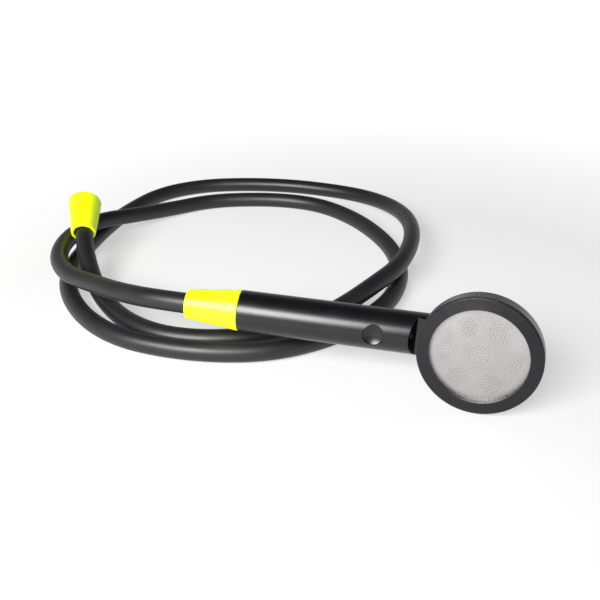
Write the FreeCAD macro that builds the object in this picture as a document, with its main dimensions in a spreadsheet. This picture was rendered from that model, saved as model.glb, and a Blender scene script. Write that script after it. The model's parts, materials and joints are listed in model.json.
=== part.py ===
"""Hand shower with its hose, a parametric FreeCAD document in millimetres.

Row frame: +Z up, the floor at z = 0, +X along the handle from the hose end to the head,
origin on the floor under the middle of the handset's bounding box.

Three working frames are used.  In the handset frame the handle's axis is X, its lower end
is x = 0 and the spray face looks towards -Y.  In the head frame +Z is the way the water
leaves and the origin is the middle of the front ring's face.  In a nut frame the origin is
the middle of the wide, threaded mouth and +Z runs towards the narrow end and the hose.
"""
import FreeCAD, Part
import Sketcher
import math
import os

from FreeCAD import Placement, Rotation, Vector

SHEET = "dims"
OUTPUT_FOLDER = "parts"


class Size:
    """A driving size: its number, and the spreadsheet expression that gives it."""

    def __init__(self, value, text):
        self.value = value
        self.text = text

    def join(self, sign, other, total):
        text = other.text if isinstance(other, Size) else str(other)
        return Size(total, f"({self.text} {sign} {text})")

    def __add__(self, other):
        return self.join("+", other, self.value + number(other))

    def __sub__(self, other):
        return self.join("-", other, self.value - number(other))

    def __mul__(self, other):
        return self.join("*", other, self.value * number(other))

    def __truediv__(self, other):
        return self.join("/", other, self.value / number(other))


def number(size):
    """The plain number of a Size or of a number."""
    return size.value if isinstance(size, Size) else float(size)


def text_of(size):
    """The expression of a Size, or a plain number as text."""
    return size.text if isinstance(size, Size) else str(size)


DRIVING_SIZES = {
    # handle
    "handle_diameter": 27.5,
    "handle_length": 173.0,
    "handle_wall": 2.0,
    "notch_start": 110.1,
    "notch_slant": 30.0,
    "notch_gap": 1.2,
    # where the handset lies
    "handset_x": -76.95,
    "handset_y": 10.57,
    "handset_z": 38.74,
    "handset_dip": 1.65,
    "handset_roll": 10.2,
    # head
    "head_along": 152.1,
    "head_forward": 26.5,
    "head_tilt": 9.8,
    "head_diameter": 75.3,
    "head_depth": 13.0,
    "shell_wall": 2.2,
    "screw_turn": 21.6,
    "ring_diameter": 73.6,
    "ring_step": 2.1,
    "ring_slope": 1.0,
    "opening_diameter": 59.4,
    "plate_recess": 3.6,
    "plate_thickness": 1.2,
    "spray_hole_diameter": 0.4,
    "spray_ring_pitch": 1.9,
    "spray_cluster_radius": 19.0,
    # neck bolt between handle and head
    "neck_bolt_diameter": 16.0,
    "neck_bolt_bore": 9.0,
    "neck_pad_diameter": 24.0,
    # pause button and its valve
    "button_along": 88.3,
    "button_diameter": 13.2,
    "button_gap": 0.35,
    "button_travel": 2.2,
    "dish_depth": 1.6,
    "stem_diameter": 8.0,
    "stem_gap": 0.3,
    "valve_length": 26.0,
    # water pipes
    "pipe_diameter": 10.0,
    "pipe_bore": 7.0,
    # swivel nuts, G 1/2 thread
    "nut_length": 37.0,
    "nut_narrow_diameter": 19.8,
    "thread_diameter": 21.0,
    "thread_depth": 12.0,
    "nut_hole_diameter": 15.8,
    "thread_length": 7.1,
    "joint_gap": 0.3,
    # hose and its end pieces
    "hose_diameter": 14.0,
    "hose_bore": 9.0,
    "insert_bore": 6.4,
    "ferrule_length": 14.0,
    # where the free nut lies: its mouth, its heading in plan and its rise
    "free_mouth_x": -255.2,
    "free_mouth_y": 149.7,
    "free_mouth_z": 45.2,
    "free_heading": 110.6,
    "free_rise": 21.0,
    # play between fixed pieces
    "fit_play": 0.1,
}

# small details whose sizes don't follow from the ones above
SCREW_DIAMETER = 2.5
SCREW_LENGTH = 2.2
SCREW_DEPTH = 5.2
SKIRT_END = 8.0
SKIRT_WALL = 1.8
GASKET_THICKNESS = 0.9
DISTRIBUTOR_THICKNESS = 1.4
BOLT_HEAD = 2.0
BOLT_REACH = 9.0
END_CAP_PLUG = 4.0
END_CAP_LIP = 4.0
PIPE_SOCKET = 6.0
BUTTON_FLOOR = 6.0
STEM_FLOOR = 10.2
SPRING_CEILING = 5.6
SPRING_HOLLOW = 2.9
SPRING_WIRE = 0.6
LOWER_GROOVE = 6.3
UPPER_GROOVE = 15.6
BUTTON_RIM = 11.9
NIPPLE_LENGTH = 7.2
INLET_PLUG = 16.0

doc = FreeCAD.newDocument("hand_shower")
nodes = []


def fill_sheet():
    """Write the driving sizes into the spreadsheet and hand them back as Size objects."""
    sheet = doc.addObject("Spreadsheet::Sheet", SHEET)
    sizes = {}
    for row, (alias, value) in enumerate(DRIVING_SIZES.items(), start=1):
        sheet.set(f"A{row}", alias)
        sheet.set(f"B{row}", str(value))
        sheet.setAlias(f"B{row}", alias)
        sizes[alias] = Size(value, f"{SHEET}.{alias}")
    doc.recompute()
    return sizes


# ---------------------------------------------------------------- building helpers


def origin_plane(body, role):
    """One of the body's own origin planes, found by its role."""
    return next(item for item in body.Origin.OriginFeatures if item.Role == role)


def new_body(label, placement):
    """A sub-part as an empty PartDesign body."""
    body = doc.addObject("PartDesign::Body", label)
    body.Label = label
    body.Placement = placement
    nodes.append(body)
    return body


def new_sketch(body, name, role="XY_Plane", lift=0.0):
    """A sketch on one of the body's origin planes, lifted off it by a distance."""
    sketch = body.newObject("Sketcher::SketchObject", name)
    sketch.AttachmentSupport = [(origin_plane(body, role), "")]
    sketch.MapMode = "FlatFace"
    if number(lift):
        sketch.AttachmentOffset = Placement(Vector(0, 0, number(lift)), Rotation())
        sketch.setExpression("AttachmentOffset.Base.z", text_of(lift))
    return sketch


def pin_point(sketch, geometry, point, axis_name, size):
    """Tie one coordinate of a sketch point to a size, or to the axis where it is zero."""
    along_x = axis_name == "DistanceX"
    if number(size) == 0:
        axis = -2 if along_x else -1
        sketch.addConstraint(Sketcher.Constraint("PointOnObject", geometry, point, axis))
        return
    index = sketch.addConstraint(
        Sketcher.Constraint(axis_name, -1, 1, geometry, point, number(size)))
    if isinstance(size, Size):
        sketch.setExpression(f"Constraints[{index}]", size.text)


def draw_polygon(sketch, corners):
    """A closed outline whose corners are tied to sizes."""
    points = [Vector(number(x), number(y), 0) for x, y in corners]
    first = sketch.GeometryCount
    count = len(points)
    for index, start in enumerate(points):
        sketch.addGeometry(Part.LineSegment(start, points[(index + 1) % count]), False)
    for index in range(count):
        following = first + (index + 1) % count
        sketch.addConstraint(Sketcher.Constraint("Coincident", first + index, 2, following, 1))
    for index, (x, y) in enumerate(corners):
        pin_point(sketch, first + index, 1, "DistanceX", x)
        pin_point(sketch, first + index, 1, "DistanceY", y)


def draw_circle(sketch, diameter, x=0.0, y=0.0):
    """A circle with its centre and diameter tied to sizes."""
    shape = Part.Circle(Vector(number(x), number(y), 0), Vector(0, 0, 1), number(diameter) / 2)
    index = sketch.addGeometry(shape, False)
    limit = sketch.addConstraint(Sketcher.Constraint("Diameter", index, number(diameter)))
    if isinstance(diameter, Size):
        sketch.setExpression(f"Constraints[{limit}]", diameter.text)
    pin_point(sketch, index, 3, "DistanceX", x)
    pin_point(sketch, index, 3, "DistanceY", y)


def turned(label, placement, outline):
    """A turned piece: an outline of (radius, height) corners revolved about Z."""
    body = new_body(label, placement)
    sketch = new_sketch(body, f"{label}_outline", "XZ_Plane")
    draw_polygon(sketch, outline)
    revolution = body.newObject("PartDesign::Revolution", f"{label}_turned")
    revolution.Profile = sketch
    revolution.ReferenceAxis = (sketch, ["V_Axis"])
    revolution.Angle = 360
    body.Tip = revolution
    return body


def washer(label, placement, outer_radius, inner_radius, low, high):
    """A flat ring between two heights."""
    return turned(label, placement, [
        (inner_radius, low), (outer_radius, low), (outer_radius, high), (inner_radius, high)])


def o_ring(label, placement, ring_radius, cord_radius, heights):
    """One or more O-rings about Z, as one node."""
    rings = []
    for index, height in enumerate(heights):
        ring = doc.addObject("Part::Torus", f"{label}_{index}")
        ring.setExpression("Radius1", text_of(ring_radius))
        ring.setExpression("Radius2", text_of(cord_radius))
        ring.Placement.Base.z = number(height)
        ring.setExpression("Placement.Base.z", text_of(height))
        rings.append(ring)
    group = doc.addObject("Part::Compound", label)
    group.Links = rings
    group.Label = label
    group.Placement = placement
    nodes.append(group)
    return group


def chamfer(body, size, edges_of):
    """Chamfer the edges of a body's last feature that a rule picks."""
    doc.recompute()
    base = body.Tip
    names = [f"Edge{index}" for index, edge in enumerate(base.Shape.Edges, start=1)
             if edges_of(edge)]
    feature = body.newObject("PartDesign::Chamfer", f"{body.Label}_chamfer")
    feature.Base = (base, names)
    feature.Size = size
    body.Tip = feature


def round_edges(body, radius, edges_of):
    """Round the edges of a body's last feature that a rule picks."""
    doc.recompute()
    base = body.Tip
    names = [f"Edge{index}" for index, edge in enumerate(base.Shape.Edges, start=1)
             if edges_of(edge)]
    feature = body.newObject("PartDesign::Fillet", f"{body.Label}_fillet")
    feature.Base = (base, names)
    feature.Radius = radius
    body.Tip = feature


def circle_edge(radius, height):
    """A rule that picks the full circle of a radius at a height on Z."""
    def rule(edge):
        curve = edge.Curve
        return (curve.TypeId == "Part::GeomCircle"
                and abs(curve.Radius - number(radius)) < 0.01
                and abs(curve.Center.z - number(height)) < 0.01)
    return rule


def cylinder(name, diameter, length, placement):
    """A primitive cylinder along its own Z."""
    item = doc.addObject("Part::Cylinder", name)
    item.setExpression("Radius", f"{text_of(diameter)} / 2")
    item.setExpression("Height", text_of(length))
    item.Placement = placement
    return item


def combine(kind, name, base, tool):
    """A Part boolean of two objects."""
    item = doc.addObject(f"Part::{kind}", name)
    item.Base = base
    item.Tool = tool
    return item


def finish_node(item, label, placement):
    """Name a boolean result as a sub-part and set it in place."""
    item.Label = label
    item.Placement = placement
    nodes.append(item)
    return item


def simple_node(label, shape, placement):
    """A sub-part whose shape comes from Part's own functions."""
    item = doc.addObject("Part::Feature", label)
    item.Label = label
    item.Shape = shape
    item.Placement = placement
    nodes.append(item)
    return item


# ---------------------------------------------------------------- frames

size = fill_sheet()
NO_TURN = Rotation()
FLIPPED = Placement(Vector(), Rotation(Vector(1, 0, 0), 180))
ALONG_X = Rotation(Vector(0, 1, 0), 90)
TOWARDS_FACE = Rotation(Vector(1, 0, 0), 90)

handset = Placement(
    Vector(size["handset_x"].value, size["handset_y"].value, size["handset_z"].value),
    Rotation(Vector(0, 1, 0), size["handset_dip"].value)
    * Rotation(Vector(1, 0, 0), -size["handset_roll"].value))
head_in_handset = Placement(
    Vector(size["head_along"].value, -size["head_forward"].value, 0),
    Rotation(Vector(0, 0, 1), -size["head_tilt"].value) * TOWARDS_FACE)
head = handset * head_in_handset
screw_frame = head * FLIPPED * Placement(
    Vector(), Rotation(Vector(0, 0, 1), size["screw_turn"].value))
handle_axis = handset * Placement(Vector(), ALONG_X)
button_axis_in_handset = Placement(Vector(size["button_along"].value, 0, 0), TOWARDS_FACE)
button_axis = handset * button_axis_in_handset
handset_nut = handset * Placement(Vector(), Rotation(Vector(0, 1, 0), -90))


def free_nut_frame():
    """The nut frame of the free end: its mouth looks along the heading and upwards."""
    heading = math.radians(size["free_heading"].value)
    rise = math.radians(size["free_rise"].value)
    outward = Vector(
        math.cos(rise) * math.cos(heading), math.cos(rise) * math.sin(heading), math.sin(rise))
    mouth = Vector(
        size["free_mouth_x"].value, size["free_mouth_y"].value, size["free_mouth_z"].value)
    return Placement(mouth, Rotation(Vector(0, 0, 1), outward * -1))


free_nut = free_nut_frame()

# ---------------------------------------------------------------- head


def head_shell():
    """The cup behind the spray plate, with the neck bolt's hole and three screw holes."""
    outer = size["head_diameter"] / 2
    inner = outer - size["shell_wall"]
    back = size["head_depth"]
    hole = size["neck_bolt_diameter"] / 2 + size["fit_play"]
    body = turned("head_shell", screw_frame, [
        (hole, back - size["shell_wall"]), (inner, back - size["shell_wall"]),
        (inner, size["ring_step"]), (outer, size["ring_step"]), (outer, back), (hole, back)])
    round_edges(body, 2.0, circle_edge(outer, back))
    sketch = new_sketch(body, "screw_hole", "YZ_Plane")
    draw_circle(sketch, SCREW_DIAMETER + 2 * number(size["fit_play"]), 0, SCREW_DEPTH)
    pocket = body.newObject("PartDesign::Pocket", "screw_pocket")
    pocket.Profile = sketch
    pocket.Type = "ThroughAll"
    pocket.Reversed = True
    body.Tip = pocket
    doc.recompute()
    pattern = body.newObject("PartDesign::PolarPattern", "screw_pattern")
    pattern.Originals = [pocket]
    pattern.Axis = (sketch, ["V_Axis"])
    pattern.Angle = 360
    pattern.Occurrences = 3
    body.Tip = pattern


def front_ring():
    """The black bezel: a lip over the plate and a skirt inside the shell."""
    outer = size["ring_diameter"] / 2
    opening = size["opening_diameter"] / 2
    skirt = size["head_diameter"] / 2 - size["shell_wall"] - size["joint_gap"]
    face_back = size["ring_step"] - size["joint_gap"]
    body = turned("front_ring", head * FLIPPED, [
        (opening, 0), (outer, size["ring_slope"]), (outer, face_back), (skirt, face_back),
        (skirt, SKIRT_END), (skirt - SKIRT_WALL, SKIRT_END),
        (skirt - SKIRT_WALL, size["plate_recess"]), (opening, size["plate_recess"])])
    round_edges(body, 0.3, circle_edge(outer, size["ring_slope"]))


def spray_hole_centres():
    """The middle of every hole: seven clusters, each a dot with three rings about it."""
    pitch = size["spray_ring_pitch"].value
    cluster_centres = [Vector()]
    for index in range(6):
        angle = math.radians(60 * index)
        cluster_centres.append(
            Vector(math.cos(angle), math.sin(angle), 0) * size["spray_cluster_radius"].value)
    centres = []
    for cluster in cluster_centres:
        centres.append(cluster)
        for ring in (1, 2, 3):
            for index in range(6 * ring):
                angle = math.radians(60 / ring * index)
                offset = Vector(math.cos(angle), math.sin(angle), 0) * (pitch * ring)
                centres.append(cluster + offset)
    return centres


def spray_plate():
    """The thin steel plate with its clusters of fine holes."""
    radius = size["head_diameter"] / 2 - size["shell_wall"] - size["joint_gap"] - SKIRT_WALL
    rim = Part.Wire(Part.Circle(Vector(), Vector(0, 0, 1), number(radius) - 0.2).toShape())
    holes = [
        Part.Wire(Part.Circle(centre, Vector(0, 0, 1),
                              size["spray_hole_diameter"].value / 2).toShape())
        for centre in spray_hole_centres()]
    face = Part.makeFace([rim] + holes, "Part::FaceMakerBullseye")
    shape = face.extrude(Vector(0, 0, size["plate_thickness"].value))
    back = size["plate_recess"].value + size["fit_play"].value + size["plate_thickness"].value
    simple_node("spray_plate", shape, head * Placement(Vector(0, 0, -back), NO_TURN))


def head_inner_pieces():
    """The gasket, the distributor behind it and the shell seal, stacked behind the plate."""
    inner = size["head_diameter"] / 2 - size["shell_wall"] - size["joint_gap"] - SKIRT_WALL - 0.2
    plate_back = size["plate_recess"] + size["plate_thickness"] + size["fit_play"] * 2
    gasket_back = plate_back + GASKET_THICKNESS
    washer("plate_gasket", head * FLIPPED, inner, inner - 3, plate_back, gasket_back)
    disc_front = gasket_back + size["fit_play"]
    body = turned("water_distributor", head * FLIPPED, [
        (0, disc_front), (inner, disc_front), (inner, disc_front + DISTRIBUTOR_THICKNESS),
        (0, disc_front + DISTRIBUTOR_THICKNESS)])
    sketch = new_sketch(body, "channel", "XY_Plane")
    draw_circle(sketch, 5.0, size["spray_cluster_radius"], 0)
    pocket = body.newObject("PartDesign::Pocket", "channel_pocket")
    pocket.Profile = sketch
    pocket.Type = "ThroughAll"
    pocket.Midplane = True
    body.Tip = pocket
    doc.recompute()
    pattern = body.newObject("PartDesign::PolarPattern", "channel_pattern")
    pattern.Originals = [pocket]
    pattern.Axis = (sketch, ["N_Axis"])
    pattern.Angle = 360
    pattern.Occurrences = 6
    body.Tip = pattern
    skirt = size["head_diameter"] / 2 - size["shell_wall"] - size["joint_gap"]
    seal_back = size["head_depth"] - size["shell_wall"] - size["fit_play"]
    washer("shell_seal", head * FLIPPED, skirt, skirt - SKIRT_WALL,
           size["fit_play"] + SKIRT_END, seal_back)


def grub_screws():
    """Three small radial screws that hold the front ring in the shell."""
    outer = size["head_diameter"].value / 2
    screws = []
    for index in range(3):
        screw = Part.makeCylinder(SCREW_DIAMETER / 2, SCREW_LENGTH,
                                  Vector(outer - 0.3 - SCREW_LENGTH, 0, SCREW_DEPTH),
                                  Vector(1, 0, 0))
        socket = Part.makeCylinder(SCREW_DIAMETER / 4, SCREW_LENGTH / 2,
                                   Vector(outer - 0.3 - SCREW_LENGTH / 2, 0, SCREW_DEPTH),
                                   Vector(1, 0, 0))
        screw = screw.cut(socket)
        screw.rotate(Vector(), Vector(0, 0, 1), 120 * index)
        screws.append(screw)
    simple_node("grub_screws", Part.makeCompound(screws), screw_frame)


# ---------------------------------------------------------------- neck


def notch_tool(name, clearance):
    """The space cut out of the handle for the head: a slanted wall and a floor behind it."""
    tilt = math.radians(size["head_tilt"].value)
    normal = Vector(-math.sin(tilt), -math.cos(tilt), 0)
    along = Vector(math.cos(tilt), -math.sin(tilt), 0)
    centre = Vector(size["head_along"].value, -size["head_forward"].value, 0)
    floor_point = centre - normal * (size["head_depth"].value + size["notch_gap"].value
                                     + clearance)
    radius = size["handle_diameter"].value / 2
    start = Vector(size["notch_start"].value - clearance, -radius, 0)
    slant = math.radians(size["notch_slant"].value)
    wall = Vector(math.sin(slant), math.cos(slant), 0)
    # where the slanted wall meets the floor
    reach = (floor_point - start).dot(normal) / wall.dot(normal)
    corner = start + wall * reach
    far_corner = corner + along * 80
    outline = [start, corner, far_corner, far_corner + normal * 40, start - wall * 30]
    depth = Vector(0, 0, 30)
    face = Part.Face(Part.makePolygon([point - depth for point in outline + outline[:1]]))
    item = doc.addObject("Part::Feature", name)
    item.Shape = face.extrude(depth * 2)
    return item


def neck_axis(depth):
    """A placement on the neck bolt's axis, a depth behind the ring's face, +Z outwards."""
    return head_in_handset * Placement(Vector(0, 0, -depth), NO_TURN)


def handle_tube():
    """The handle: a tube notched for the head, with the button's hole in its face side."""
    outside = cylinder("handle_outside", size["handle_diameter"], size["handle_length"],
                       Placement(Vector(), ALONG_X))
    inside = cylinder("handle_inside", size["handle_diameter"] - size["handle_wall"] * 2,
                      size["handle_length"] + 2, Placement(Vector(-1, 0, 0), ALONG_X))
    tube = combine("Cut", "handle_bored", outside, inside)
    tube = combine("Cut", "handle_notched", tube, notch_tool("handle_notch", 0.0))
    button_hole = cylinder("button_hole", size["button_diameter"] + size["button_gap"] * 2,
                           size["handle_diameter"], button_axis_in_handset)
    tube = combine("Cut", "handle_with_button_hole", tube, button_hole)
    pad_hole = cylinder("pad_hole", size["neck_pad_diameter"] + size["fit_play"] * 2,
                        size["head_forward"], neck_axis(number(size["head_forward"])))
    tube = combine("Cut", "handle_with_pad_hole", tube, pad_hole)
    finish_node(tube, "handle_tube", handset)


def neck_block():
    """The solid block in the handle's end that carries the head and turns the water."""
    inner = size["handle_diameter"] - size["handle_wall"] * 2 - size["fit_play"] * 2
    start = size["notch_start"].value + 2.0
    end = size["handle_length"].value - END_CAP_PLUG - 0.2
    core = cylinder("block_core", inner, end - start,
                    Placement(Vector(start, 0, 0), ALONG_X))
    pad = cylinder("block_pad", size["neck_pad_diameter"], size["head_forward"],
                   neck_axis(number(size["head_forward"])))
    block = combine("Fuse", "block_with_pad", core, pad)
    block = combine("Cut", "block_notched", block, notch_tool("block_notch", 0.0))
    bolt_hole = cylinder("bolt_hole", size["neck_bolt_diameter"] + size["fit_play"] * 2,
                         size["head_forward"], neck_axis(number(size["head_depth"]) + BOLT_REACH))
    block = combine("Cut", "block_with_bolt_hole", block, bolt_hole)
    passage = cylinder("water_passage", size["pipe_bore"], 40.0,
                       Placement(Vector(start - 1, 0, 0), ALONG_X))
    block = combine("Cut", "block_with_passage", block, passage)
    socket = cylinder("pipe_socket", size["pipe_diameter"] + size["fit_play"] * 2,
                      PIPE_SOCKET + 1,
                      Placement(Vector(start - 1, 0, 0), ALONG_X))
    block = combine("Cut", "block_with_socket", block, socket)
    finish_node(block, "neck_block", handset)


def neck_bolt():
    """The hollow bolt that clamps the head to the block and lets the water through."""
    radius = size["neck_bolt_diameter"] / 2
    bore = size["neck_bolt_bore"] / 2
    seat = size["head_depth"] - size["shell_wall"] - size["fit_play"]
    tip = size["head_depth"] + (BOLT_REACH - 0.5)
    turned("neck_bolt", head * FLIPPED, [
        (bore, seat - BOLT_HEAD), (radius + 2.2, seat - BOLT_HEAD), (radius + 2.2, seat),
        (radius, seat), (radius, tip), (bore, tip)])
    washer("neck_seal", head * FLIPPED, size["neck_pad_diameter"] / 2, radius + 0.3,
           size["head_depth"] + 0.05, size["head_depth"] + size["notch_gap"] - 0.05)


def handle_end_cap():
    """The rounded plug that closes the handle behind the head."""
    length = size["handle_length"]
    outer = size["handle_diameter"] / 2
    plug = outer - size["handle_wall"] - size["fit_play"]
    body = turned("handle_end_cap", handle_axis, [
        (0, length - END_CAP_PLUG), (plug, length - END_CAP_PLUG), (plug, length + 0.05),
        (outer, length + 0.05), (outer, length + END_CAP_LIP), (0, length + END_CAP_LIP)])
    round_edges(body, 2.0, circle_edge(outer, length + END_CAP_LIP))


# ---------------------------------------------------------------- water path in the handle


def inlet_fitting():
    """The threaded inlet at the handle's lower end, plugged into the tube."""
    plug = size["handle_diameter"] / 2 - size["handle_wall"] - size["fit_play"]
    thread = size["thread_diameter"] / 2 - 0.35
    bore = size["thread_diameter"] / 2 - 3.5
    socket = size["pipe_diameter"] / 2 + size["fit_play"]
    body = turned("inlet_fitting", handset * Placement(Vector(-NIPPLE_LENGTH, 0, 0), ALONG_X), [
        (bore, 0), (thread, 0), (thread, NIPPLE_LENGTH + 0.4), (plug, NIPPLE_LENGTH + 0.4),
        (plug, NIPPLE_LENGTH + INLET_PLUG), (socket, NIPPLE_LENGTH + INLET_PLUG),
        (socket, NIPPLE_LENGTH + INLET_PLUG - PIPE_SOCKET),
        (size["pipe_bore"] / 2, NIPPLE_LENGTH + INLET_PLUG - PIPE_SOCKET),
        (size["pipe_bore"] / 2, NIPPLE_LENGTH - 1), (bore, NIPPLE_LENGTH - 1)])
    chamfer(body, 0.6, circle_edge(thread, 0))


def flow_regulator():
    """The insert that limits the flow, pushed into the inlet's bore."""
    radius = size["thread_diameter"] / 2 - 3.5 - size["fit_play"]
    washer("flow_regulator", handset * Placement(Vector(-NIPPLE_LENGTH, 0, 0), ALONG_X),
           radius, 2.0, 0.6, 4.6)


def water_pipe(label, start, end):
    """A pipe on the handle's axis between two places along it."""
    washer(label, handle_axis, size["pipe_diameter"] / 2, size["pipe_bore"] / 2, start, end)


def valve_ends():
    """Where the pause valve's body starts and ends along the handle."""
    middle = size["button_along"]
    half = size["valve_length"] / 2
    return middle - half, middle + half


def water_pipes():
    """The pipes from the inlet to the valve and from the valve to the neck block."""
    valve_start, valve_end = valve_ends()
    play = size["fit_play"]
    inlet_seat = INLET_PLUG - PIPE_SOCKET + number(play)
    block_seat = size["notch_start"] + 2.0 + PIPE_SOCKET - play
    water_pipe("inlet_pipe", inlet_seat, valve_start + PIPE_SOCKET - play)
    water_pipe("outlet_pipe", valve_end - PIPE_SOCKET + play, block_seat)


def valve_body():
    """The pause valve's housing: a bore across it for the stem and pipe sockets at its ends."""
    valve_start, valve_end = valve_ends()
    play = size["fit_play"]
    outer = size["handle_diameter"] - size["handle_wall"] * 2 - play * 2
    placed = Placement(Vector(number(valve_start), 0, 0), ALONG_X)
    body = cylinder("valve_core", outer, size["valve_length"], placed)
    socket_diameter = size["pipe_diameter"] + play * 2
    for name, where in (("first", number(valve_start) - 1),
                        ("second", number(valve_end) - PIPE_SOCKET)):
        socket = cylinder(f"{name}_socket", socket_diameter,
                          PIPE_SOCKET + 1,
                          Placement(Vector(where, 0, 0), ALONG_X))
        body = combine("Cut", f"valve_with_{name}_socket", body, socket)
    passage = cylinder("valve_passage", size["pipe_bore"], size["valve_length"], placed)
    body = combine("Cut", "valve_with_passage", body, passage)
    stem_bore = cylinder("stem_bore", size["stem_diameter"] + size["stem_gap"] * 2,
                         size["handle_diameter"],
                         button_axis_in_handset * Placement(Vector(0, 0, -STEM_FLOOR), NO_TURN))
    body = combine("Cut", "valve_with_stem_bore", body, stem_bore)
    button_room = cylinder("button_room", size["button_diameter"] + size["button_gap"] * 2,
                           size["handle_diameter"],
                           button_axis_in_handset * Placement(Vector(0, 0, BUTTON_FLOOR), NO_TURN))
    body = combine("Cut", "valve_with_button_room", body, button_room)
    finish_node(body, "valve_body", handset)


def stem_frame():
    """The button's axis with its origin on the floor of the stem's bore, +Z outwards."""
    return button_axis * Placement(Vector(0, 0, -STEM_FLOOR), NO_TURN)


def button_underside():
    """How far the button's underside stands off the handle's axis when it is out."""
    return size["button_travel"] + (BUTTON_FLOOR + 0.4)


def valve_stem():
    """The waisted stem under the button, hollow below for the return spring."""
    radius = size["stem_diameter"] / 2
    waist = radius * 0.55
    low = size["button_travel"] + 0.4
    lower_collar = SPRING_CEILING + 2.0
    upper_collar = STEM_FLOOR + 3.0

    def groove(middle):
        return [(radius, middle - 0.6), (radius - 0.7, middle - 0.6),
                (radius - 0.7, middle + 0.6), (radius, middle + 0.6)]

    outline = [(0, SPRING_CEILING), (SPRING_HOLLOW, SPRING_CEILING), (SPRING_HOLLOW, low),
               (radius, low)]
    outline += groove(LOWER_GROOVE)
    outline += [(radius, lower_collar), (waist, lower_collar), (waist, upper_collar),
                (radius, upper_collar)]
    outline += groove(UPPER_GROOVE)
    top = button_underside() + STEM_FLOOR
    outline += [(radius, top), (0, top)]
    turned("valve_stem", stem_frame(), outline)
    o_ring("stem_seals", stem_frame(), radius - 0.2, 0.45, (LOWER_GROOVE, UPPER_GROOVE))


def return_spring():
    """The coil spring between the bore's floor and the hollow of the stem."""
    wire = SPRING_WIRE / 2
    coil_radius = SPRING_HOLLOW - 0.15 - wire
    low = wire + 0.15
    high = SPRING_CEILING - size["button_travel"].value - wire - 0.2
    helix = Part.makeHelix((high - low) / 3, high - low, coil_radius)
    section = Part.Wire(Part.Circle(Vector(coil_radius, 0, 0), Vector(0, 1, 0), wire).toShape())
    coil = Part.Wire(helix).makePipeShell([section], True, True)
    simple_node("return_spring", coil, stem_frame() * Placement(Vector(0, 0, low), NO_TURN))


def button_cap():
    """The pause button: a round cap set into the handle, with a dish over its whole top."""
    radius = size["button_diameter"] / 2
    underside = button_underside()
    depth = size["dish_depth"]
    dish_radius = (radius * number(radius) + depth * number(depth)) / (number(depth) * 2)
    core = cylinder("cap_core", size["button_diameter"], underside * -1 + BUTTON_RIM,
                    button_axis_in_handset * Placement(Vector(0, 0, number(underside)), NO_TURN))
    dish = doc.addObject("Part::Sphere", "cap_dish")
    dish.setExpression("Radius", text_of(dish_radius))
    centre = BUTTON_RIM - number(depth) + number(dish_radius)
    dish.Placement = button_axis_in_handset * Placement(Vector(0, 0, centre), NO_TURN)
    finish_node(combine("Cut", "cap_dished", core, dish), "button_cap", handset)


# ---------------------------------------------------------------- hose ends


def cone_nut(label, frame):
    """A conical swivel nut: thread at its wide mouth, a shoulder, and the hose's hole."""
    wide = size["handle_diameter"] / 2
    narrow = size["nut_narrow_diameter"] / 2
    thread = size["thread_diameter"] / 2
    relief = thread + 0.5
    hole = size["nut_hole_diameter"] / 2
    mouth = size["joint_gap"]
    thread_end = mouth + size["thread_length"]
    body = turned(label, frame, [
        (thread, mouth), (wide, mouth), (narrow, size["nut_length"]),
        (hole, size["nut_length"]), (hole, size["thread_depth"]), (relief, size["thread_depth"]),
        (relief, thread_end), (thread, thread_end)])
    round_edges(body, 0.9, circle_edge(narrow, size["nut_length"]))
    round_edges(body, 0.9, circle_edge(wide, mouth))


def hose_start():
    """How deep in the nut the hose's cut end lies, measured from the mouth."""
    return size["thread_depth"] + 0.2


def hose_end_pieces(side, frame):
    """The sealing washer, the barbed insert and the crimped ferrule of one hose end."""
    flange_back = size["thread_depth"] - size["joint_gap"]
    flange_front = flange_back - 2
    flange = size["thread_diameter"] / 2 - 0.6
    barb = size["hose_bore"] / 2 - size["fit_play"]
    bore = size["insert_bore"] / 2
    tail_end = hose_start() + size["ferrule_length"] + 2
    turned(f"{side}_hose_insert", frame, [
        (bore, flange_front), (flange, flange_front), (flange, flange_back),
        (barb, flange_back), (barb, tail_end), (bore, tail_end)])
    washer(f"{side}_washer", frame, flange - 0.3, bore + 1.5,
           flange_front - size["fit_play"] / 2 - 2, flange_front - size["fit_play"] / 2)
    hose_radius = size["hose_diameter"] / 2
    ferrule_start = hose_start() + 0.6
    washer(f"{side}_ferrule", frame, hose_radius + 0.5, hose_radius + 0.05,
           ferrule_start, ferrule_start + size["ferrule_length"])


# ---------------------------------------------------------------- hose

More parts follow.
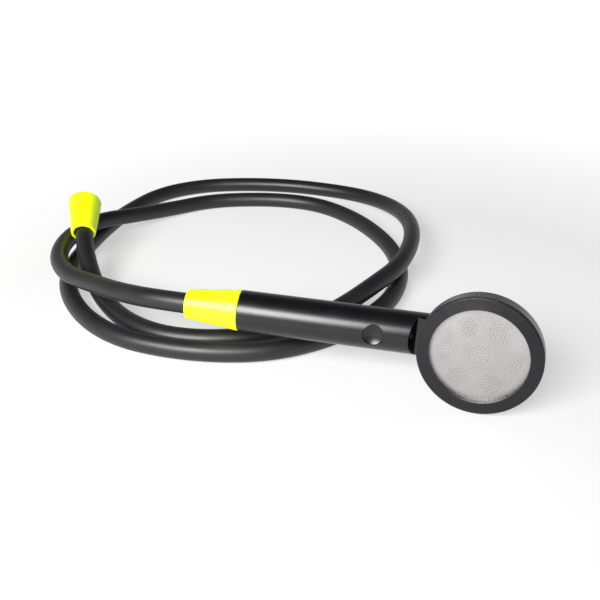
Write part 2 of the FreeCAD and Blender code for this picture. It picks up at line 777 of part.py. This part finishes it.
# Corners of the hose's route between the two nuts, in the row frame, a few centimetres apart.
HOSE_CORNERS = [
    # away from the handset's nut, sinking onto the strands that it crosses
    (-166, 23, 35), (-203, 45, 28), (-234, 64, 23),
    # left loop, lying on the strand below it
    (-256, 93, 22), (-263, 129, 22.7), (-253, 166, 21.9), (-236, 198, 14.5),
    # far side, inner strand, down to the floor
    (-213, 234, 8), (-182, 264, 7), (-144, 277, 7), (-103, 282, 7), (-65, 274, 7),
    (-30, 247, 7), (-5, 215, 7), (12, 182, 7), (21, 141, 7), (16, 98, 7), (-3, 61, 7),
    # under the handle and round the front
    (-25, 35, 7), (-58, 13, 7), (-95, 4, 7), (-131, 3, 7), (-168, 9, 7), (-202, 28, 7),
    # left side, under the first strand
    (-232, 60, 7), (-250, 97, 7), (-255, 138, 7), (-256, 182, 7), (-252, 225, 7),
    # far side, outer strand
    (-238, 273, 7), (-203, 304, 7), (-158, 318, 7), (-111, 323, 7), (-65, 318, 7),
    (-28, 303, 9), (2, 271, 14), (21, 227, 20),
    # the right-hand hump over the inner strand
    (27, 179, 23), (20, 129, 22.5), (2, 97, 19.5), (-19, 74, 11), (-45, 46, 7),
    # under the handle again, front inner strand, and up to the free nut
    (-77, 27, 7), (-108, 18, 7), (-141, 18, 7), (-172, 31, 7), (-199, 54, 8),
    (-221, 80, 14),
]
NUT_LEAD = 14.0
FREE_NUT_LEAD = 8.0


def hose_corners():
    """The whole route, from the cut end in the near nut to the cut end in the free nut."""
    def on_axis(frame, height):
        return frame.multVec(Vector(0, 0, height))

    start = number(hose_start())
    length = size["nut_length"].value
    corners = [on_axis(handset_nut, start), on_axis(handset_nut, length + NUT_LEAD)]
    corners += [Vector(*corner) for corner in HOSE_CORNERS]
    corners += [on_axis(free_nut, length + FREE_NUT_LEAD), on_axis(free_nut, start)]
    return corners


def hose_path(corners):
    """Straight runs joined by tangent arcs, as one wire."""
    edges = []
    last = corners[0]
    for index in range(1, len(corners) - 1):
        corner = corners[index]
        back = corners[index - 1] - corner
        onward = corners[index + 1] - corner
        turn = math.pi - back.getAngle(onward)
        shorter = min(back.Length, onward.Length)
        trim = 0.45 * shorter
        radius = trim / math.tan(turn / 2)
        print(f"corner {index}: turn {math.degrees(turn):.0f} degrees, "
              f"radius {radius:.0f} mm, next run {onward.Length:.0f} mm")
        back.normalize()
        onward.normalize()
        arc_start = corner + back * trim
        arc_end = corner + onward * trim
        bisector = back + onward
        bisector.normalize()
        middle = corner + bisector * (radius / math.cos(turn / 2) - radius)
        edges.append(Part.LineSegment(last, arc_start).toShape())
        edges.append(Part.Arc(arc_start, middle, arc_end).toShape())
        last = arc_end
    edges.append(Part.LineSegment(last, corners[-1]).toShape())
    return Part.Wire(edges)


def hose():
    """The hose: a thick-walled tube swept along its route."""
    corners = hose_corners()
    path = hose_path(corners)
    direction = corners[1] - corners[0]
    radii = (size["hose_diameter"].value / 2, size["hose_bore"].value / 2)
    tubes = []
    for radius in radii:
        section = Part.Wire(Part.Circle(corners[0], direction, radius).toShape())
        tubes.append(path.makePipeShell([section], True, False))
    shape = tubes[0].cut(tubes[1])
    expected = math.pi * (radii[0] ** 2 - radii[1] ** 2) * path.Length
    print(f"hose length {path.Length:.0f} mm, volume {shape.Volume:.0f} mm3, "
          f"section times length {expected:.0f} mm3")
    assert abs(shape.Volume / expected - 1) < 0.01
    simple_node("hose", shape, Placement())


# ---------------------------------------------------------------- whole object


def build():
    """Make every sub-part."""
    head_shell()
    front_ring()
    spray_plate()
    head_inner_pieces()
    grub_screws()
    handle_tube()
    neck_block()
    neck_bolt()
    handle_end_cap()
    inlet_fitting()
    flow_regulator()
    water_pipes()
    valve_body()
    valve_stem()
    return_spring()
    button_cap()
    for side, frame in (("handset", handset_nut), ("free", free_nut)):
        cone_nut(f"{side}_cone_nut", frame)
        hose_end_pieces(side, frame)
    hose()


def check_and_save():
    """Stop on any failed object, then write each sub-part to its own file."""
    doc.recompute()
    for item in doc.Objects:
        if "Invalid" in item.State or "Error" in item.State:
            raise RuntimeError(f"{item.Label} failed: {item.State}")
    os.makedirs(OUTPUT_FOLDER, exist_ok=True)
    for node in nodes:
        shape = node.Shape
        if shape.isNull() or not shape.isValid() or not shape.Solids:
            raise RuntimeError(f"{node.Label} has no valid solid")
        shape.exportStep(os.path.join(OUTPUT_FOLDER, f"{node.Label}.step"))


build()
check_and_save()
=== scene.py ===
import json
import math

import bpy
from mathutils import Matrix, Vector


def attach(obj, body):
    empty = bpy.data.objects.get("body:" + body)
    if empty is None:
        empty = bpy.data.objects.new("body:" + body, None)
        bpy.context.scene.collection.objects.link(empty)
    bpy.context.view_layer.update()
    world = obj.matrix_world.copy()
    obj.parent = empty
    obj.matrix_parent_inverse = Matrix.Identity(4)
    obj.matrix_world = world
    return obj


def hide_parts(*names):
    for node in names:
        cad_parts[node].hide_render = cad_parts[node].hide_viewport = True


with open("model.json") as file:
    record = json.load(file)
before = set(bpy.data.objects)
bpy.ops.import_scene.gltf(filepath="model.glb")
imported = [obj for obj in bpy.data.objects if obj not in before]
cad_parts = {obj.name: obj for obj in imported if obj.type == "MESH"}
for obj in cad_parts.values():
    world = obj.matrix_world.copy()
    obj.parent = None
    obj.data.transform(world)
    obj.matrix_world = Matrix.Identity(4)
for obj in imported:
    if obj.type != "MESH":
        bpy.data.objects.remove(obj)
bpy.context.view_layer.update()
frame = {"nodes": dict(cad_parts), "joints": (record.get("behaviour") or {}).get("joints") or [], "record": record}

ROOT = "handset_and_hose"
MM = 0.001
WHITE = (1.0, 1.0, 1.0)


# ---------------------------------------------------------------- camera

CAMERA_PLACE = (0.0394, -0.37505, 0.27824)
CAMERA_PITCH = 60.0
CAMERA_HEADING = 11.29
LENS = 42.4
SENSOR_WIDTH = 36.0


def make_camera():
    """The viewpoint: in front of the handset, a little to its right, looking 30 degrees down."""
    data = bpy.data.cameras.new("camera")
    data.sensor_width = SENSOR_WIDTH
    data.lens = LENS
    camera = bpy.data.objects.new("camera", data)
    camera.location = CAMERA_PLACE
    camera.rotation_euler = (math.radians(CAMERA_PITCH), 0, math.radians(CAMERA_HEADING))
    bpy.context.collection.objects.link(camera)
    bpy.context.scene.camera = camera


# ---------------------------------------------------------------- hose

# the same sizes and corners as in part.py, in millimetres
HOSE_DIAMETER = 14.0
NUT_LENGTH = 37.0
HOSE_START = 12.2
NUT_LEAD = 14.0
FREE_NUT_LEAD = 8.0
HOSE_CORNERS = [
    # away from the handset's nut, sinking onto the strands that it crosses
    (-166, 23, 35), (-203, 45, 28), (-234, 64, 23),
    # left loop, lying on the strand below it
    (-256, 93, 22), (-263, 129, 22.7), (-253, 166, 21.9), (-236, 198, 14.5),
    # far side, inner strand, down to the floor
    (-213, 234, 8), (-182, 264, 7), (-144, 277, 7), (-103, 282, 7), (-65, 274, 7),
    (-30, 247, 7), (-5, 215, 7), (12, 182, 7), (21, 141, 7), (16, 98, 7), (-3, 61, 7),
    # under the handle and round the front
    (-25, 35, 7), (-58, 13, 7), (-95, 4, 7), (-131, 3, 7), (-168, 9, 7), (-202, 28, 7),
    # left side, under the first strand
    (-232, 60, 7), (-250, 97, 7), (-255, 138, 7), (-256, 182, 7), (-252, 225, 7),
    # far side, outer strand
    (-238, 273, 7), (-203, 304, 7), (-158, 318, 7), (-111, 323, 7), (-65, 318, 7),
    (-28, 303, 9), (2, 271, 14), (21, 227, 20),
    # the right-hand hump over the inner strand
    (27, 179, 23), (20, 129, 22.5), (2, 97, 19.5), (-19, 74, 11), (-45, 46, 7),
    # under the handle again, front inner strand, and up to the free nut
    (-77, 27, 7), (-108, 18, 7), (-141, 18, 7), (-172, 31, 7), (-199, 54, 8),
    (-221, 80, 14),
]
STEPS_ALONG = 12
STEPS_ROUND = 10


def joint_line(name):
    """The origin and the direction of a hinge's axis."""
    joint = next(item for item in frame["joints"] if item["name"] == name)
    return Vector(joint["pos_m"]), Vector(joint["axis"]).normalized()


def hose_points():
    """The route's corners in metres, cut end to cut end, and where it leaves the near nut."""
    handset_mouth, along_handle = joint_line("handset_nut_swivel")
    free_mouth, outward = joint_line("free_nut_swivel")
    points = [handset_mouth - along_handle * HOSE_START * MM,
              handset_mouth - along_handle * (NUT_LENGTH + NUT_LEAD) * MM]
    points += [Vector(corner) * MM for corner in HOSE_CORNERS]
    points += [free_mouth - outward * (NUT_LENGTH + FREE_NUT_LEAD) * MM,
               free_mouth - outward * HOSE_START * MM]
    return points, handset_mouth - along_handle * NUT_LENGTH * MM


def make_hose(material):
    """The hose: one smooth round curve over its whole route."""
    points, nut_exit = hose_points()
    data = bpy.data.curves.new("hose_tube", "CURVE")
    data.dimensions = "3D"
    spline = data.splines.new("NURBS")
    spline.points.add(len(points) - 1)
    for point, place in zip(spline.points, points):
        point.co = (*place, 1.0)
    spline.order_u = 3
    spline.use_endpoint_u = True
    spline.resolution_u = STEPS_ALONG
    data.bevel_depth = HOSE_DIAMETER / 2 * MM
    data.bevel_resolution = STEPS_ROUND
    data.use_fill_caps = True
    hose = bpy.data.objects.new("hose_tube", data)
    bpy.context.collection.objects.link(hose)
    hose.data.materials.append(material)
    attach(hose, ROOT)
    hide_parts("hose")


# ---------------------------------------------------------------- material helpers

# a noise texture's value stays mostly between these two
NOISE_LOW = 0.3
NOISE_HIGH = 0.7


def new_material(name, colour, roughness, metallic=0.0):
    """A material with its shader."""
    material = bpy.data.materials.new(name)
    material.use_nodes = True
    shader = material.node_tree.nodes["Principled BSDF"]
    shader.inputs["Base Color"].default_value = (*colour, 1.0)
    shader.inputs["Roughness"].default_value = roughness
    shader.inputs["Metallic"].default_value = metallic
    material.diffuse_color = (*colour, 1.0)
    return material, shader


def object_noise(material, scale, detail):
    """A noise texture's value in object space, with cells about 1 / scale metres across."""
    nodes = material.node_tree.nodes
    place = nodes.new("ShaderNodeTexCoord")
    noise = nodes.new("ShaderNodeTexNoise")
    noise.inputs["Scale"].default_value = scale
    noise.inputs["Detail"].default_value = detail
    material.node_tree.links.new(place.outputs["Object"], noise.inputs["Vector"])
    return noise.outputs["Fac"]


def add_bump(material, shader, height, strength, distance):
    """Bump the surface by a height texture."""
    bump = material.node_tree.nodes.new("ShaderNodeBump")
    bump.inputs["Strength"].default_value = strength
    bump.inputs["Distance"].default_value = distance
    material.node_tree.links.new(height, bump.inputs["Height"])
    material.node_tree.links.new(bump.outputs["Normal"], shader.inputs["Normal"])


def remap(tree, value, socket, source, target):
    """Drive a socket by a value whose range source is stretched to the range target."""
    spread = tree.nodes.new("ShaderNodeMapRange")
    spread.inputs["From Min"].default_value = source[0]
    spread.inputs["From Max"].default_value = source[1]
    spread.inputs["To Min"].default_value = target[0]
    spread.inputs["To Max"].default_value = target[1]
    tree.links.new(value, spread.inputs["Value"])
    tree.links.new(spread.outputs["Result"], socket)


def vary_roughness(material, shader, texture, low, high):
    """Let the roughness follow a texture between two limits."""
    remap(material.node_tree, texture, shader.inputs["Roughness"],
          (NOISE_LOW, NOISE_HIGH), (low, high))


def tint(material, shader, texture, dark, light):
    """Vary the base colour between two shades by a texture."""
    ramp = material.node_tree.nodes.new("ShaderNodeValToRGB")
    ends = ramp.color_ramp.elements
    ends[0].position = NOISE_LOW
    ends[0].color = (*dark, 1.0)
    ends[1].position = NOISE_HIGH
    ends[1].color = (*light, 1.0)
    material.node_tree.links.new(texture, ramp.inputs["Fac"])
    material.node_tree.links.new(ramp.outputs["Color"], shader.inputs["Base Color"])


# ---------------------------------------------------------------- materials

def satin_black():
    """The coating of the handle, the head's shell and the button."""
    material, shader = new_material("satin_black", (0.004, 0.004, 0.005), 0.30)
    shader.inputs["Specular IOR Level"].default_value = 0.5
    grain = object_noise(material, 4500, 2.0)
    patches = object_noise(material, 45, 4.0)
    add_bump(material, shader, grain, 0.25, 0.00003)
    vary_roughness(material, shader, patches, 0.28, 0.33)
    tint(material, shader, patches, (0.003, 0.003, 0.004), (0.005, 0.005, 0.006))
    return material


def ring_black():
    """The smoother, less glossy black of the front ring."""
    material, shader = new_material("ring_black", (0.004, 0.004, 0.005), 0.33)
    shader.inputs["Specular IOR Level"].default_value = 0.36
    grain = object_noise(material, 5200, 2.0)
    patches = object_noise(material, 60, 4.0)
    add_bump(material, shader, grain, 0.15, 0.00002)
    vary_roughness(material, shader, patches, 0.30, 0.37)
    tint(material, shader, patches, (0.003, 0.003, 0.004), (0.005, 0.005, 0.006))
    return material


def hose_black():
    """The smooth matt jacket of the hose."""
    material, shader = new_material("hose_black", (0.010, 0.010, 0.011), 0.42)
    shader.inputs["Specular IOR Level"].default_value = 0.45
    grain = object_noise(material, 2600, 3.0)
    patches = object_noise(material, 30, 5.0)
    add_bump(material, shader, grain, 0.3, 0.00004)
    vary_roughness(material, shader, patches, 0.38, 0.46)
    tint(material, shader, patches, (0.008, 0.008, 0.009), (0.012, 0.012, 0.013))
    return material


def neon_yellow():
    """The saturated yellow plastic of the conical nuts."""
    material, shader = new_material("neon_yellow", (0.82, 1.0, 0.0), 0.38)
    grain = object_noise(material, 3200, 2.0)
    patches = object_noise(material, 70, 4.0)
    add_bump(material, shader, grain, 0.2, 0.00003)
    vary_roughness(material, shader, patches, 0.34, 0.42)
    tint(material, shader, patches, (0.80, 0.98, 0.0), (0.84, 1.0, 0.01))
    return material


def spray_steel():
    """The satin sheet of the spray plate."""
    material, shader = new_material("spray_steel", (0.40, 0.39, 0.38), 0.38, 1.0)
    grain = object_noise(material, 3800, 3.0)
    patches = object_noise(material, 90, 5.0)
    add_bump(material, shader, grain, 0.25, 0.00002)
    vary_roughness(material, shader, patches, 0.36, 0.42)
    tint(material, shader, patches, (0.38, 0.37, 0.36), (0.42, 0.41, 0.40))
    return material


def plain_metal(name, colour, roughness):
    """Turned metal with fine marks."""
    material, shader = new_material(name, colour, roughness, 1.0)
    marks = object_noise(material, 900, 4.0)
    add_bump(material, shader, marks, 0.2, 0.00003)
    vary_roughness(material, shader, marks, roughness - 0.06, roughness + 0.08)
    return material


def plain_polymer(name, colour, roughness):
    """Moulded plastic or rubber with a fine grain."""
    material, shader = new_material(name, colour, roughness)
    grain = object_noise(material, 2200, 3.0)
    add_bump(material, shader, grain, 0.25, 0.00004)
    vary_roughness(material, shader, grain, roughness - 0.05, roughness + 0.06)
    return material


def dress(materials):
    """Give every CAD node the material of its slot in the record."""
    for item in frame["record"]["subparts"]:
        for place in frame["nodes"][item["node"]].material_slots:
            place.material = materials[item["material_slot"]]


# ---------------------------------------------------------------- room

FLOOR_HALF = 4.0
GLOW_REACH = (0.3, 0.8)
GLOW_STRENGTH = (0.54, 1.0)
SKY_HEIGHT = (0.0, 0.8)
SKY_STRENGTH = (0.6, 0.005)
KEY_PLACE = (-0.38, -0.80, 0.69)
KEY_TARGET = (0.0, 0.05, 0.0)
KEY_SIZE = (0.7, 0.5)
KEY_POWER = 28


def floor_white():
    """White that gives off some light of its own, more of it farther from the object."""
    material, shader = new_material("floor_white", (0.32, 0.32, 0.32), 0.6)
    shader.inputs["Emission Color"].default_value = (*WHITE, 1.0)
    shader.inputs["Specular IOR Level"].default_value = 0.2
    tree = material.node_tree
    place = tree.nodes.new("ShaderNodeTexCoord")
    reach = tree.nodes.new("ShaderNodeVectorMath")
    reach.operation = "LENGTH"
    tree.links.new(place.outputs["Object"], reach.inputs[0])
    remap(tree, reach.outputs["Value"], shader.inputs["Emission Strength"],
          GLOW_REACH, GLOW_STRENGTH)
    return material


def make_floor():
    """A plain pale floor."""
    data = bpy.data.meshes.new("floor")
    corners = [(-FLOOR_HALF, -FLOOR_HALF, 0), (FLOOR_HALF, -FLOOR_HALF, 0),
               (FLOOR_HALF, FLOOR_HALF, 0), (-FLOOR_HALF, FLOOR_HALF, 0)]
    data.from_pydata(corners, [], [(0, 1, 2, 3)])
    floor = bpy.data.objects.new("floor", data)
    bpy.context.collection.objects.link(floor)
    floor.data.materials.append(floor_white())


def make_key_light():
    """One soft box in front of the object, on the left."""
    data = bpy.data.lights.new("key", "AREA")
    data.shape = "RECTANGLE"
    data.size = KEY_SIZE[0]
    data.size_y = KEY_SIZE[1]
    data.energy = KEY_POWER
    light = bpy.data.objects.new("key", data)
    light.location = KEY_PLACE
    direction = Vector(KEY_TARGET) - Vector(KEY_PLACE)
    light.rotation_euler = direction.to_track_quat("-Z", "Y").to_euler()
    bpy.context.collection.objects.link(light)


def make_world():
    """A pale room at the horizon that turns dark overhead."""
    world = bpy.data.worlds.new("studio")
    world.use_nodes = True
    tree = world.node_tree
    back = tree.nodes["Background"]
    back.inputs["Color"].default_value = (*WHITE, 1.0)
    place = tree.nodes.new("ShaderNodeTexCoord")
    split = tree.nodes.new("ShaderNodeSeparateXYZ")
    tree.links.new(place.outputs["Generated"], split.inputs["Vector"])
    remap(tree, split.outputs["Z"], back.inputs["Strength"], SKY_HEIGHT, SKY_STRENGTH)
    bpy.context.scene.world = world


make_camera()
bpy.context.scene.view_settings.view_transform = "Standard"
materials = {
    "satin_black": satin_black(),
    "ring_black": ring_black(),
    "hose_black": hose_black(),
    "neon_yellow": neon_yellow(),
    "spray_steel": spray_steel(),
    "screw_steel": plain_metal("screw_steel", (0.55, 0.55, 0.56), 0.32),
    "inner_brass": plain_metal("inner_brass", (0.78, 0.62, 0.32), 0.30),
    "inner_steel": plain_metal("inner_steel", (0.58, 0.58, 0.58), 0.34),
    "seal_rubber": plain_polymer("seal_rubber", (0.02, 0.02, 0.02), 0.6),
    "inner_plastic": plain_polymer("inner_plastic", (0.72, 0.72, 0.70), 0.45),
}
make_hose(materials["hose_black"])
dress(materials)
make_floor()
make_key_light()
make_world()
